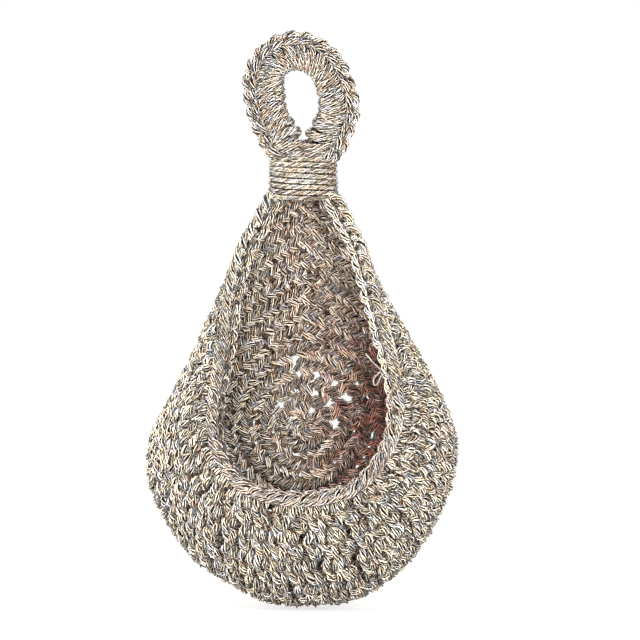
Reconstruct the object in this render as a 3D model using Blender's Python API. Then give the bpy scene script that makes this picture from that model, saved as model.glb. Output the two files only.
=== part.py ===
"""A crocheted wall basket: a teardrop pouch of stiff cord, gathered and bound at the neck, with a padded hanging loop.

Metres, +Z up, -Y towards the room. The origin is the crown of the loop's eye, where the hook bears.
The shapes are worked out in a local frame (middle of the basket at x = 0, wall at y = 0, base at z = 0),
and one empty carries every piece from there to the origin.
"""

import math

import bmesh
import bpy
from mathutils import Vector

MM = 0.001

# Cord and cloth
CORD = 3.2 * MM
BINDING_CORD = 2.5 * MM
WALL = 8.0 * MM
GROOVE = 0.9 * MM
CLEAR = 0.3 * MM
TURN_GAP = 0.5 * MM

# Basket body, outside sizes
BODY_HEIGHT = 234.0 * MM
BODY_WIDTH = 179.0 * MM
WIDEST_HEIGHT = 88.0 * MM
CENTRE_HEIGHT = 104.0 * MM
MOUTH_WIDTH = 108.0 * MM
MOUTH_BASE_HEIGHT = 61.0 * MM
MOUTH_DEPTH = 84.0 * MM
POUCH_DEPTH = 94.0 * MM
NECK_WIDTH = 41.0 * MM
NECK_DEPTH = 25.0 * MM
NECK_RISE = 18.0 * MM
MOUTH_RISE = 10.0 * MM
RIM_THICKNESS = 7.0 * MM
RIM_WIDTH = 9.0 * MM
RING_RADIUS = 4.6 * MM
ROUNDS = 15

# Neck binding and hanging loop
BINDING_TURNS = 7
FOOT_RADIUS = 6.0 * MM
EYE_WIDTH = 17.5 * MM
EYE_HEIGHT = 39.0 * MM
EYE_FOOT_HEIGHT = 4.0 * MM
STRAND = 20.5 * MM
CROWN_STRAND = 18.0 * MM
STRAND_TURNS = 16
EDGE_THICKNESS = 4.2 * MM
EDGE_WIDTH = 9.0 * MM
LOOP_SETBACK = 13.0 * MM
CROWN_SHIFT = 4.5 * MM

# Outlines, top to bottom: share of the height, share of the half width
BODY_OUTLINE_SHARES = (
    (0.955, 0.29),
    (0.88, 0.405),
    (0.76, 0.525),
    (0.68, 0.645),
    (0.565, 0.80),
    (0.45, 0.95),
    (0.375, 1.0),
    (0.28, 0.96),
    (0.156, 0.79),
    (0.06, 0.545),
    (0.012, 0.30),
)
MOUTH_OUTLINE_SHARES = (
    (0.90, 0.475),
    (0.83, 0.60),
    (0.70, 0.735),
    (0.525, 0.87),
    (0.40, 0.955),
    (0.30, 1.0),
    (0.205, 0.965),
    (0.11, 0.815),
    (0.03, 0.54),
)
LEG_OUTLINE_SHARES = (
    (0.0, 0.58),
    (0.11, 0.60),
    (0.26, 0.70),
    (0.41, 0.84),
    (0.58, 0.955),
    (0.80, 1.0),
    (1.0, 1.0),
)
SILHOUETTE_DEPTH_SHARE = 0.46
CORNER_SHARE = 0.86
ROUND_SHARE = 0.56
FRONT_REACH_SHARE = 0.85
RIM_PULL_SHARE = 0.5
NECK_MOUTH_SHARE = 0.95
LIP_TILT = math.radians(82)
NECK_SQUARE_SHARE = 0.25
SLOW_START_SHARE = 0.035

# Facets
HALF_OUTLINE_STEPS = 18
BACK_STEPS = 4
CORNER_STEPS = 7
FRONT_STEPS = 9
SPAN_STEPS = 12
SECTION_SIDES = 8
LOOP_RINGS = 36
CROWN_STEPS = 36
TURN_POINTS = 24
RING_STEPS = 16
CREASE = math.radians(50)

TRIM_HEIGHT = BODY_HEIGHT - CLEAR
NECK_TOP_HEIGHT = BODY_HEIGHT + BINDING_TURNS * (BINDING_CORD + TURN_GAP) + BINDING_CORD + CLEAR
FOOT_HEIGHT = NECK_TOP_HEIGHT + CLEAR + FOOT_RADIUS
LOOP_HALF_WIDTH = (EYE_WIDTH + STRAND) / 2
LOOP_HEIGHT = EYE_FOOT_HEIGHT + EYE_HEIGHT + CROWN_STRAND / 2
LEG_HEIGHT = LOOP_HEIGHT - LOOP_HALF_WIDTH
RING_REACH = RING_RADIUS + CORD / 2 + CLEAR

COLOURS = {
    "cord": (0.60, 0.54, 0.45, 1.0),
    "edging": (0.68, 0.62, 0.53, 1.0),
    "binding": (0.72, 0.66, 0.56, 1.0),
    "core": (0.55, 0.47, 0.36, 1.0),
}
ROUGHNESS = 0.95


def clear_scene():
    for old in list(bpy.data.objects):
        bpy.data.objects.remove(old, do_unlink=True)


def material(name):
    found = bpy.data.materials.get(name)
    if found:
        return found
    made = bpy.data.materials.new(name)
    made.use_nodes = True
    shader = made.node_tree.nodes["Principled BSDF"]
    shader.inputs["Base Color"].default_value = COLOURS[name]
    shader.inputs["Roughness"].default_value = ROUGHNESS
    return made


def add_object(name, data, finish, parent):
    made = bpy.data.objects.new(name, data)
    bpy.context.scene.collection.objects.link(made)
    data.materials.append(material(finish))
    made.parent = parent
    return made


def add_mesh(name, bm, finish, parent):
    bmesh.ops.recalc_face_normals(bm, faces=bm.faces)
    mesh = bpy.data.meshes.new(name)
    bm.to_mesh(mesh)
    bm.free()
    mesh.shade_smooth()
    mesh.set_sharp_from_angle(angle=CREASE)
    return add_object(name, mesh, finish, parent)


def place(width, height, depth):
    """A local point from its distance right of the middle, above the base and out from the wall."""
    return Vector((width, -depth, height))


FORWARD = place(0, 0, 1)


def smooth_path(points, before, after):
    """A fine Catmull-Rom polyline through points, with one guide point past each end."""
    guides = [before, *points, after]
    path = []
    for a, b, c, d in zip(guides, guides[1:], guides[2:], guides[3:]):
        for step in range(SPAN_STEPS):
            t = step / SPAN_STEPS
            bend = 2 * a - 5 * b + 4 * c - d
            twist = 3 * b - a - 3 * c + d
            path.append((2 * b + (c - a) * t + bend * t**2 + twist * t**3) / 2)
    path.append(points[-1])
    return path


def lengths_along(path):
    total = [0.0]
    for a, b in zip(path, path[1:]):
        total.append(total[-1] + (b - a).length)
    return total


def point_at(path, totals, distance):
    """The point that lies this far along a polyline."""
    for i in range(1, len(path)):
        if distance <= totals[i] or i == len(path) - 1:
            t = (distance - totals[i - 1]) / (totals[i] - totals[i - 1])
            return path[i - 1].lerp(path[i], t)


def resample(path, count):
    """Even points along a polyline, each with the direction of travel there."""
    totals = lengths_along(path)
    reach = totals[-1] / (2 * count)
    found = []
    for i in range(count + 1):
        distance = totals[-1] * i / count
        ahead = point_at(path, totals, min(distance + reach, totals[-1]))
        back = point_at(path, totals, max(distance - reach, 0))
        found.append((point_at(path, totals, distance), (ahead - back).normalized()))
    return found


def half_outline(apex, neck, shares, height, base, half_width):
    """A fine right-hand outline, from its apex above the neck down to its lowest point, as (x, height)."""
    points = [apex, neck]
    for height_share, width_share in shares:
        points.append(Vector((half_width * width_share, base + height * height_share)))
    points.append(Vector((0, base)))
    mirror = Vector((-1, 1))
    return smooth_path(points, points[1] * mirror, points[-2] * mirror)


def body_outline():
    """The silhouette seen from the front."""
    apex = Vector((0, BODY_HEIGHT + NECK_RISE))
    neck = Vector((NECK_WIDTH / 2, BODY_HEIGHT))
    return half_outline(apex, neck, BODY_OUTLINE_SHARES, BODY_HEIGHT, 0, BODY_WIDTH / 2)


def mouth_outline():
    """The cloth's edge round the mouth, seen from the front."""
    apex = Vector((0, BODY_HEIGHT + MOUTH_RISE))
    neck = Vector(((NECK_WIDTH - WALL) / 2 * NECK_MOUTH_SHARE, BODY_HEIGHT))
    rise = BODY_HEIGHT - MOUTH_BASE_HEIGHT
    return half_outline(apex, neck, MOUTH_OUTLINE_SHARES, rise, MOUTH_BASE_HEIGHT, MOUTH_WIDTH / 2)


def down_share(height, lowest):
    """0 at the neck, 1 at a lowest height, eased at both ends."""
    t = min(max((BODY_HEIGHT - height) / (BODY_HEIGHT - lowest), 0), 1)
    return t, t * t * (3 - 2 * t)


def silhouette_depth(height):
    """How far out from the wall the basket is widest, at a height."""
    _, eased = down_share(height, WIDEST_HEIGHT)
    return (NECK_DEPTH + (POUCH_DEPTH - NECK_DEPTH) * eased) * SILHOUETTE_DEPTH_SHARE


def mouth_depth(height):
    """How far out the cloth's edge lies: a straight pull from the neck to the lip."""
    straight, _ = down_share(height, MOUTH_BASE_HEIGHT)
    neck = NECK_DEPTH - RIM_THICKNESS - CLEAR
    return neck + (MOUTH_DEPTH - neck) * straight


def bezier(a, b, c, d, t):
    s = 1 - t
    return a * s**3 + b * (3 * s * s * t) + c * (3 * s * t * t) + d * t**3


def meridian(body, body_along, mouth, mouth_along):
    """The cloth's middle line from the centre of the rounds to the mouth, and its direction at the mouth."""
    inward = Vector((body_along[1], -body_along[0]))
    body = body + inward * (WALL / 2)
    centre = place(0, CENTRE_HEIGHT, WALL / 2)
    edge_rise = silhouette_depth(body[1]) - WALL / 2
    edge = place(body[0], body[1], WALL / 2 + edge_rise)
    out = place(body[0], body[1] - CENTRE_HEIGHT, 0)
    flat = centre + out - out.normalized() * (edge_rise * CORNER_SHARE)
    lip = place(mouth[0], mouth[1], mouth_depth(mouth[1]))
    _, eased = down_share(mouth[1], MOUTH_BASE_HEIGHT)
    tilt = LIP_TILT * eased
    pull = FORWARD * math.cos(tilt) + place(mouth_along[1], -mouth_along[0], 0) * math.sin(tilt)
    corner = out.normalized() * (edge_rise * CORNER_SHARE * ROUND_SHARE)
    reach = FORWARD * ((lip - edge).dot(FORWARD) * FRONT_REACH_SHARE)
    draw = pull * ((lip - edge).length * RIM_PULL_SHARE)
    line = [centre.lerp(flat, i / BACK_STEPS) for i in range(BACK_STEPS)]
    for i in range(CORNER_STEPS):
        line.append(bezier(flat, flat + corner, edge - FORWARD * (edge_rise * ROUND_SHARE), edge, i / CORNER_STEPS))
    for i in range(FRONT_STEPS + 1):
        line.append(bezier(edge, edge + reach, lip - draw, lip, i / FRONT_STEPS))
    return line, pull


def meridians():
    """Every meridian once round the basket, clockwise from the neck as seen from the room."""
    body = resample(body_outline(), HALF_OUTLINE_STEPS)
    mouth = resample(mouth_outline(), HALF_OUTLINE_STEPS)
    right = [meridian(*b, *m) for b, m in zip(body, mouth)]
    flip = Vector((-1, 1, 1))
    left = [([p * flip for p in line], pull * flip) for line, pull in right[-2:0:-1]]
    return right + left


def cloth_row(lines, totals, distances, shift):
    """One row of the cloth across the meridians: points moved on by a shift, with the outward direction before it."""
    count = len(lines)
    reach = CORD / 2
    here = [point_at(*item) for item in zip(lines, totals, distances)]
    back = [point_at(line, total, max(d - reach, 0)) for line, total, d in zip(lines, totals, distances)]
    ahead = [point_at(line, total, min(d + reach, total[-1])) for line, total, d in zip(lines, totals, distances)]
    row = []
    for j in range(count):
        across = here[(j + 1) % count] - here[j - 1]
        onward = (ahead[j] - back[j]).normalized()
        row.append((here[j] + onward * shift, onward.cross(across).normalized()))
    return row


def worked_out(totals, share):
    """How far along each meridian the work has come at a share of the rounds: a circle first, the mouth last."""
    mean = sum(total[-1] for total in totals) / len(totals)
    return [share * (total[-1] * share + mean * (1 - share)) for total in totals]


def crochet_round(name, lines, totals, start, end, parent):
    """One round of stitches between two shares of the rounds, with half of CLEAR kept at each edge."""
    inset = CLEAR / 2
    firsts = [max(d, RING_REACH) for d in worked_out(totals, start)]
    lasts = worked_out(totals, end)
    bm = bmesh.new()
    made = []
    for distances, shift, lift in (
        (firsts, inset, WALL / 2 - GROOVE),
        ([d + inset + GROOVE for d in firsts], 0, WALL / 2),
        ([d - inset - GROOVE for d in lasts], 0, WALL / 2),
        (lasts, -inset, WALL / 2 - GROOVE),
        (lasts, -inset, -WALL / 2),
        (firsts, inset, -WALL / 2),
    ):
        made.append([bm.verts.new(p + n * lift) for p, n in cloth_row(lines, totals, distances, shift)])
    edge, top, far_top, far_edge, far_base, base = made
    for j in range(len(lines)):
        k = (j + 1) % len(lines)
        for a, b in ((edge, top), (top, far_top), (far_top, far_edge), (far_base, base)):
            bm.faces.new((a[j], a[k], b[k], b[j]))
        for a, b in ((far_edge, far_base), (edge, base)):
            bm.faces.new((a[j], a[k], b[k]))
            bm.faces.new((a[j], b[k], b[j]))
    return add_mesh(name, bm, "cord", parent)


def sweep(name, rings, finish, parent, closed=False):
    """A tube of oval section. Each ring is its centre and the two half axes of the section there."""
    bm = bmesh.new()
    loops = []
    for centre, side, up in rings:
        loop = []
        for k in range(SECTION_SIDES):
            turn = math.tau * (k + 1 / 2) / SECTION_SIDES
            loop.append(bm.verts.new(centre + side * math.cos(turn) + up * math.sin(turn)))
        loops.append(loop)
    for a, b in zip(loops, loops[1:] + (loops[:1] if closed else [])):
        for k in range(SECTION_SIDES):
            m = (k + 1) % SECTION_SIDES
            bm.faces.new((a[k], a[m], b[m], b[k]))
    if not closed:
        bm.faces.new(loops[0])
        bm.faces.new(loops[-1])
    return add_mesh(name, bm, finish, parent)


def wound_cord(name, points, thickness, finish, parent):
    """A cord as one unbroken tube through points."""
    curve = bpy.data.curves.new(name, "CURVE")
    curve.dimensions = "3D"
    curve.bevel_depth = thickness / 2
    curve.bevel_resolution = 1
    curve.use_fill_caps = True
    spline = curve.splines.new("POLY")
    spline.points.add(len(points) - 1)
    for handle, point in zip(spline.points, points):
        handle.co = (*point, 1)
    print(f"{name}: least gap to itself {least_gap(points, thickness) / MM:.2f} mm")
    return add_object(name, curve, finish, parent)


def least_gap(points, thickness):
    """The clear distance between stretches of a cord that lie beside each other."""
    totals = lengths_along(points)
    apart = math.pi * thickness
    least = totals[-1]
    for i, a in enumerate(points):
        for j in range(i + 1, len(points)):
            if totals[j] - totals[i] > apart:
                least = min(least, (points[j] - a).length - thickness)
    return least


def trim_block(parent):
    """The space of the binding, which cuts the cloth off level below it."""
    bm = bmesh.new()
    bmesh.ops.create_cube(bm, size=1)
    bmesh.ops.scale(bm, verts=bm.verts, vec=(BODY_WIDTH, BODY_WIDTH, BODY_WIDTH))
    bmesh.ops.translate(bm, verts=bm.verts, vec=(0, 0, TRIM_HEIGHT + BODY_WIDTH / 2))
    block = add_mesh("neck_trim", bm, "core", parent)
    block.hide_render = True
    block.display_type = "WIRE"
    return block


def trim(piece, block):
    """Cuts a piece off level where it reaches into the binding."""
    if max(v.co.z for v in piece.data.vertices) > TRIM_HEIGHT:
        cut = piece.modifiers.new("trim", "BOOLEAN")
        cut.operation = "DIFFERENCE"
        cut.object = block


def centre_ring(parent):
    """The ring of cord that the first round is worked into, flush in the back."""
    centre = place(0, CENTRE_HEIGHT, WALL / 2)
    rings = []
    for i in range(RING_STEPS):
        turn = math.tau * i / RING_STEPS
        side = place(math.sin(turn), math.cos(turn), 0)
        rings.append((centre + side * RING_RADIUS, side * (CORD / 2), FORWARD * (WALL / 2)))
    sweep("centre_ring", rings, "cord", parent, closed=True)


def rim_braid(lines, pulls, parent):
    """The chain edging on the cloth's edge, round the mouth from one side of the neck to the other."""
    count = len(lines)
    ends = [line[-1] for line in lines]
    rings = []
    for j in range(count):
        along = (ends[(j + 1) % count] - ends[j - 1]).normalized()
        up = (pulls[j] - along * pulls[j].dot(along)).normalized()
        centre = ends[j] + up * (RIM_THICKNESS / 2 + CLEAR)
        rings.append((centre, along.cross(up) * (RIM_WIDTH / 2), up * (RIM_THICKNESS / 2)))
    return sweep("rim_braid", rings, "edging", parent, closed=True)


def neck_point(turns, height, inset):
    """A point on the neck's flattened round section, from the back, this far inside its outer size."""
    turn = math.tau * turns
    across = math.sin(turn)
    squared = math.copysign(abs(across) ** (1 - NECK_SQUARE_SHARE), across)
    deep = LOOP_SETBACK - (NECK_DEPTH / 2 - inset) * math.cos(turn)
    return place(squared * (NECK_WIDTH / 2 - inset), height, deep)


def neck_gather(parent):
    """The drawn-up top of the cloth inside the binding."""
    inset = BINDING_CORD + CLEAR
    bm = bmesh.new()
    loops = []
    for height in (BODY_HEIGHT, NECK_TOP_HEIGHT):
        loops.append([bm.verts.new(neck_point(i / TURN_POINTS, height, inset)) for i in range(TURN_POINTS)])
    low, high = loops
    for i in range(TURN_POINTS):
        k = (i + 1) % TURN_POINTS
        bm.faces.new((low[i], low[k], high[k], high[i]))
    bm.faces.new(low)
    bm.faces.new(high)
    add_mesh("neck_gather", bm, "core", parent)


def neck_binding(parent):
    """The cord wound round the gather, with both ends at the back."""
    start = BODY_HEIGHT + BINDING_CORD / 2
    points = []
    for i in range(BINDING_TURNS * TURN_POINTS + 1):
        turns = i / TURN_POINTS
        points.append(neck_point(turns, start + (BINDING_CORD + TURN_GAP) * turns, BINDING_CORD / 2))
    wound_cord("neck_binding", points, BINDING_CORD, "binding", parent)


def upright(point):
    """Stands a point or direction of the loop's plane up in the local frame."""
    return place(point[0], point[1], 0)


def rise_share(height):
    """0 at the loop's foot, 1 at its crown, eased at both ends."""
    t = height / LOOP_HEIGHT
    return t * t * (3 - 2 * t)


def leant(point):
    """Moves a point of the loop to the left, by more the higher it is."""
    return Vector((point[0] - CROWN_SHIFT * rise_share(point[1]), point[1]))


def loop_path():
    """The loop's middle line in its own plane above the foot: two legs and a round crown."""
    points = [Vector((LOOP_HALF_WIDTH * w, LEG_HEIGHT * h)) for h, w in LEG_OUTLINE_SHARES]
    below = points[1] * Vector((1, -1))
    beyond = Vector((points[-2][0], 2 * LEG_HEIGHT - points[-2][1]))
    leg = smooth_path(points, below, beyond)
    crown = []
    for i in range(1, CROWN_STEPS):
        turn = math.pi * i / CROWN_STEPS
        crown.append(Vector((-LOOP_HALF_WIDTH * math.cos(turn), LEG_HEIGHT + LOOP_HALF_WIDTH * math.sin(turn))))
    left = [p * Vector((-1, 1)) for p in leg]
    return [leant(p) for p in left + crown + leg[::-1]]


def loop_frames(count):
    """Even places along the loop, each as its point, its outward direction and half the strand's thickness there."""
    frames = []
    for p, along in resample(loop_path(), count):
        half = (STRAND + (CROWN_STRAND - STRAND) * rise_share(p[1])) / 2
        frames.append((upright(p), upright((-along[1], along[0])), half))
    return frames


def loop_core(parent):
    """The padded cord inside the loop."""
    rings = []
    for here, out, half in loop_frames(LOOP_RINGS):
        inside = half - CORD - CLEAR
        rings.append((here, out * inside, FORWARD * inside))
    sweep("loop_core", rings, "core", parent)


def loop_stitches(parent):
    """The cord worked over the core. It starts and ends by running straight along the strand."""
    count = STRAND_TURNS * TURN_POINTS
    straight_share = CORD / lengths_along(loop_path())[-1]
    points = []
    for i, (here, out, half) in enumerate(loop_frames(count)):
        radius = half - CORD / 2
        angle = math.tau * STRAND_TURNS * eased_run(i / count, straight_share)
        points.append(here + out * (radius * math.cos(angle)) + FORWARD * (radius * math.sin(angle)))
    wound_cord("loop_stitches", points, CORD, "cord", parent)


def eased_run(share, still_share):
    """Runs from 0 to 1: still at both ends, then speeding up to an even pace between them."""
    slow = SLOW_START_SHARE
    ends = max(min(share, 1 - share) - still_share, 0)
    run = ends * ends / (2 * slow) if ends < slow else ends - slow / 2
    run /= 1 - 2 * still_share - slow
    return run if share < 1 / 2 else 1 - run


def loop_edge(parent):
    """The chain of stitch heads along the loop's outer edge."""
    rings = []
    for here, out, half in loop_frames(LOOP_RINGS):
        centre = here + out * (half + CLEAR + EDGE_THICKNESS / 2)
        rings.append((centre, out * (EDGE_THICKNESS / 2), FORWARD * (EDGE_WIDTH / 2)))
    sweep("loop_edge_braid", rings, "edging", parent)


def loop_foot(parent):
    """The loop's two ends sewn side by side: flat on top, rounded below so that it rolls on the neck."""
    half = LOOP_HALF_WIDTH * LEG_OUTLINE_SHARES[0][1] + STRAND / 2
    bm = bmesh.new()
    loops = []
    for side in (-half, half):
        loop = []
        for i in range(SECTION_SIDES + 1):
            turn = math.pi * i / SECTION_SIDES
            across, down = FOOT_RADIUS * math.cos(turn), FOOT_RADIUS * math.sin(turn)
            loop.append(bm.verts.new(place(side, -down - CLEAR, across)))
        loops.append(loop)
    left, right = loops
    for i in range(SECTION_SIDES + 1):
        k = (i + 1) % (SECTION_SIDES + 1)
        bm.faces.new((left[i], left[k], right[k], right[i]))
    bm.faces.new(left)
    bm.faces.new(right)
    add_mesh("loop_foot", bm, "core", parent)


def eye_crown():
    """The highest point of the eye in the local frame, under the loop's crown."""
    return place(-CROWN_SHIFT, FOOT_HEIGHT + EYE_FOOT_HEIGHT + EYE_HEIGHT, LOOP_SETBACK)


def empty(name, location, parent=None):
    made = bpy.data.objects.new(name, None)
    bpy.context.scene.collection.objects.link(made)
    made.location = location
    made.parent = parent
    return made


def basket(frame):
    """The crocheted rounds, the ring they start from and the edging that ends them."""
    found = meridians()
    lines = [line for line, _ in found]
    totals = [lengths_along(line) for line in lines]
    block = trim_block(frame)
    centre_ring(frame)
    for i in range(ROUNDS):
        piece = crochet_round(f"round_{i + 1:02d}", lines, totals, i / ROUNDS, (i + 1) / ROUNDS, frame)
        trim(piece, block)
    trim(rim_braid(lines, [pull for _, pull in found], frame), block)


def hanging_loop(frame):
    """The loop on its pivot above the neck."""
    pivot = empty("loop_pivot", place(0, FOOT_HEIGHT, LOOP_SETBACK), frame)
    loop_foot(pivot)
    loop_core(pivot)
    loop_stitches(pivot)
    loop_edge(pivot)


clear_scene()
whole = empty("basket_frame", -eye_crown())
basket(whole)
neck_gather(whole)
neck_binding(whole)
hanging_loop(whole)
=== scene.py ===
"""The looks of the crocheted wall basket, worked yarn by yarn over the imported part.

Lengths are in metres, in the part's own frame.
"""

import math

import bpy
import numpy as np
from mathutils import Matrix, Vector


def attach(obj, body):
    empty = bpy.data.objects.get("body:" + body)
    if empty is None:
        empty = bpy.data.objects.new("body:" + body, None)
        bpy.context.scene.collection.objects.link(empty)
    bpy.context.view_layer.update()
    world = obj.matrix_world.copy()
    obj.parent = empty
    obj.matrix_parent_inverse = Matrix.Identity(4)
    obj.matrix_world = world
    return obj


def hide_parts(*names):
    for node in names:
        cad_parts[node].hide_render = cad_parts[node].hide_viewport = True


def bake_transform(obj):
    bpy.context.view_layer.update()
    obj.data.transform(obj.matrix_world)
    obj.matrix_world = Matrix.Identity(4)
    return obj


MM = 0.001

# Values too small to matter, which keep a division and a place in a grid safe
TINY = 1e-12
GRID_MARGIN = 1e-6

# The part's own sizes, which the stitches follow
WALL = 8.0 * MM
BODY_HEIGHT = 234.0 * MM
BODY_WIDTH = 179.0 * MM
WIDEST_HEIGHT = 88.0 * MM
CENTRE_HEIGHT = 104.0 * MM
MOUTH_WIDTH = 108.0 * MM
MOUTH_BASE_HEIGHT = 61.0 * MM
MOUTH_DEPTH = 84.0 * MM
POUCH_DEPTH = 94.0 * MM
NECK_WIDTH = 41.0 * MM
NECK_DEPTH = 25.0 * MM
NECK_RISE = 18.0 * MM
MOUTH_RISE = 10.0 * MM
RIM_THICKNESS = 7.0 * MM
RING_RADIUS = 4.6 * MM
ROUNDS = 15
CLEAR = 0.3 * MM
EYE_WIDTH = 17.5 * MM
EYE_HEIGHT = 39.0 * MM
EYE_FOOT_HEIGHT = 4.0 * MM
STRAND = 20.5 * MM
CROWN_STRAND = 18.0 * MM
LOOP_SETBACK = 13.0 * MM
CROWN_SHIFT = 4.5 * MM
FOOT_RADIUS = 6.0 * MM
BINDING_RISE = 23.5 * MM
BODY_OUTLINE_SHARES = (
    (0.955, 0.29),
    (0.88, 0.405),
    (0.76, 0.525),
    (0.68, 0.645),
    (0.565, 0.80),
    (0.45, 0.95),
    (0.375, 1.0),
    (0.28, 0.96),
    (0.156, 0.79),
    (0.06, 0.545),
    (0.012, 0.30),
)
MOUTH_OUTLINE_SHARES = (
    (0.90, 0.475),
    (0.83, 0.60),
    (0.70, 0.735),
    (0.525, 0.87),
    (0.40, 0.955),
    (0.30, 1.0),
    (0.205, 0.965),
    (0.11, 0.815),
    (0.03, 0.54),
)
LEG_OUTLINE_SHARES = (
    (0.0, 0.58),
    (0.11, 0.60),
    (0.26, 0.70),
    (0.41, 0.84),
    (0.58, 0.955),
    (0.80, 1.0),
    (1.0, 1.0),
)
SILHOUETTE_DEPTH_SHARE = 0.46
CORNER_SHARE = 0.86
ROUND_SHARE = 0.56
FRONT_REACH_SHARE = 0.85
RIM_PULL_SHARE = 0.5
NECK_MOUTH_SHARE = 0.95
LIP_TILT = math.radians(82)
NECK_SQUARE_SHARE = 0.25

NECK_TOP_HEIGHT = BODY_HEIGHT + BINDING_RISE + CLEAR
FOOT_HEIGHT = NECK_TOP_HEIGHT + CLEAR + FOOT_RADIUS
CROWN_HEIGHT = FOOT_HEIGHT + EYE_FOOT_HEIGHT + EYE_HEIGHT
LOOP_HALF_WIDTH = (EYE_WIDTH + STRAND) / 2
LOOP_HEIGHT = EYE_FOOT_HEIGHT + EYE_HEIGHT + CROWN_STRAND / 2
LEG_HEIGHT = LOOP_HEIGHT - LOOP_HALF_WIDTH

# Steps along the part's outlines, and how far each way a direction is read there
SPAN_STEPS = 12
HALF_MERIDIANS = 72
BACK_STEPS = 8
CORNER_STEPS = 14
FRONT_STEPS = 18
ROUND_STEPS = 8
LOOK_SHARE = 1 / 72

# How the basket sways to one side as it goes up, and where its lower left is pushed in
SWAY = 1.8 * MM
SWAY_START_SHARE = 0.40
SWAY_WAVE_SHARE = 0.62
DENT = 3.6 * MM
DENT_LEFT = 43.0 * MM
DENT_HEIGHT = 7.0 * MM
DENT_REACH = 16.0 * MM

# Thickness of each cord
YARN = 4.5 * MM
INNER_YARN = 4.1 * MM
EDGE_YARN = 5.0 * MM
POST_YARN = 4.0 * MM
BINDING_YARN = 3.05 * MM
RIM_CORD = 3.8 * MM
LOOSE_THREAD = 1.0 * MM
SEAM_SHARE = 0.60
RING_SHARE = 0.42

# Steps along the cords
TUBE_STEP = 2.4 * MM
STITCH_STEP = 1.9 * MM
SEAM_STEP = 3.36 * MM
FILLING_STEP = 3.0 * MM
THREAD_STEP = 0.6 * MM
STITCH_BENDS = 4
SEAM_BENDS = 3
LINK_BENDS = 5
POST_BENDS = 2
THREAD_BENDS = 6
LEAST_STEPS = 4
PARALLEL_LIMIT = 0.1

# The strands of a cord. Their shares are of the cord's thickness, and a spread share is of what it spreads
STRANDS = 6
SIDES = 5
STRAND_REACH_SHARE = 0.365
STRAND_SHARE = 0.105
CORE_SHARE = 0.25
TWIST_SHARE = 3.2
INNER_TWIST_SHARE = 4.2
STRAND_TURN_SPREAD = 0.10
REACH_SPREAD_SHARE = 0.07
STRAND_SPREAD_SHARE = 0.12
UV_SEEDS = 197
UV_PER_METRE = 100
UV_SHIFT = 50

# A stitch, as shares (across in stitches, up in rounds, off the cloth's middle in yarns)
FRONT_SHARES = (
    (-0.46, 1.08, -0.28),
    (-0.44, 0.98, 0.05),
    (-0.36, 0.84, 0.42),
    (-0.22, 0.68, 0.40),
    (-0.12, 0.56, 0.02),
    (-0.30, 0.46, 0.12),
    (-0.27, 0.32, 0.46),
    (-0.15, 0.15, 0.42),
    (-0.05, 0.02, 0.0),
    (0.0, -0.06, -0.28),
    (0.05, 0.02, 0.0),
    (0.15, 0.15, 0.42),
    (0.27, 0.32, 0.46),
    (0.32, 0.46, 0.12),
    (0.36, 0.56, 0.02),
    (0.28, 0.68, 0.40),
    (0.16, 0.84, 0.42),
    (0.08, 0.98, 0.05),
    (0.05, 1.08, -0.28),
)
BACK_LOW_SHARES = (
    (-0.27, -0.06, -0.15),
    (-0.20, 0.06, -0.46),
    (0.0, 0.24, -0.56),
    (0.20, 0.42, -0.46),
)
BACK_HIGH_SHARES = tuple((across, 1 - up, lift) for across, up, lift in BACK_LOW_SHARES[::-1])
BACK_SHARES = (*BACK_LOW_SHARES, (0.27, 0.50, -0.12), *BACK_HIGH_SHARES)
BACK_SHIFT_SHARE = 0.25
STITCH_JITTER_SHARES = (0.035, 0.035, 0.07)
STITCH_PITCH = 9.8 * MM
STITCH_SPREAD_SHARE = 0.05
LEAST_STITCHES = 6
MIDDLE_SHARE = 0.5
KEPT_SHARE = 0.6
STITCH_RISE = 0.5 * MM
LEAN_SHARE = 0.40
LEAN_SPREAD_SHARE = 0.14
LEAVES = 4
LEAF_SWELL_SHARE = 0.20
VALLEY_LIFT_SHARE = 0.36
VALLEY_REACH_SHARE = 0.5

# See-through gaps: where the cloth is loosest, how far that reaches, and how narrow the stitches end there
OPEN_RIGHT = 8.0 * MM
OPEN_HEIGHT = 119.0 * MM
OPEN_REACH = 32.0 * MM
OPEN_ODDS = 2.2
OPEN_SHARE = 0.46
OPEN_SPREAD_SHARE = 0.25

# The cord along the seams inside the cloth, left out where the cloth is looser than the limit
SEAM_OPEN_LIMIT = 0.20
SEAM_LIFT_SHARE = -0.22
SEAM_RISE = 2.0 * MM
SEAM_SHADE = 0.3
SEAM_POINTS = 4
LEAST_SEAM_POINTS = 24
LEAST_RUN = 3

# How far under the neck a piece counts as going up into the binding
BEND_HEIGHT = 45.0 * MM

# A chain link, as (along in links, across in half widths, lift in yarns)
LINK_SIDE_SHARES = (
    (-0.12, 0.0, -0.22),
    (0.06, 0.30, 0.0),
    (0.36, 0.62, 0.28),
    (0.74, 0.80, 0.32),
    (1.04, 0.64, 0.05),
    (1.20, 0.26, -0.32),
)
LINK_BACK_SHARES = tuple((along, -across, lift) for along, across, lift in LINK_SIDE_SHARES[::-1])
LINK_SHARES = (*LINK_SIDE_SHARES, *LINK_BACK_SHARES)
LINK_JITTER_SHARES = (0.02, 0.04, 0.03)
LEAST_LINKS = 3
RIM_LINK = 9.6 * MM
RIM_LINK_HALF = 4.9 * MM
RIM_LIFT_SHARE = 0.42
RIM_RISE = 1.5 * MM
RIM_CORD_INSET = 3.8 * MM
RIM_CORD_DROP = 2.2 * MM

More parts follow.
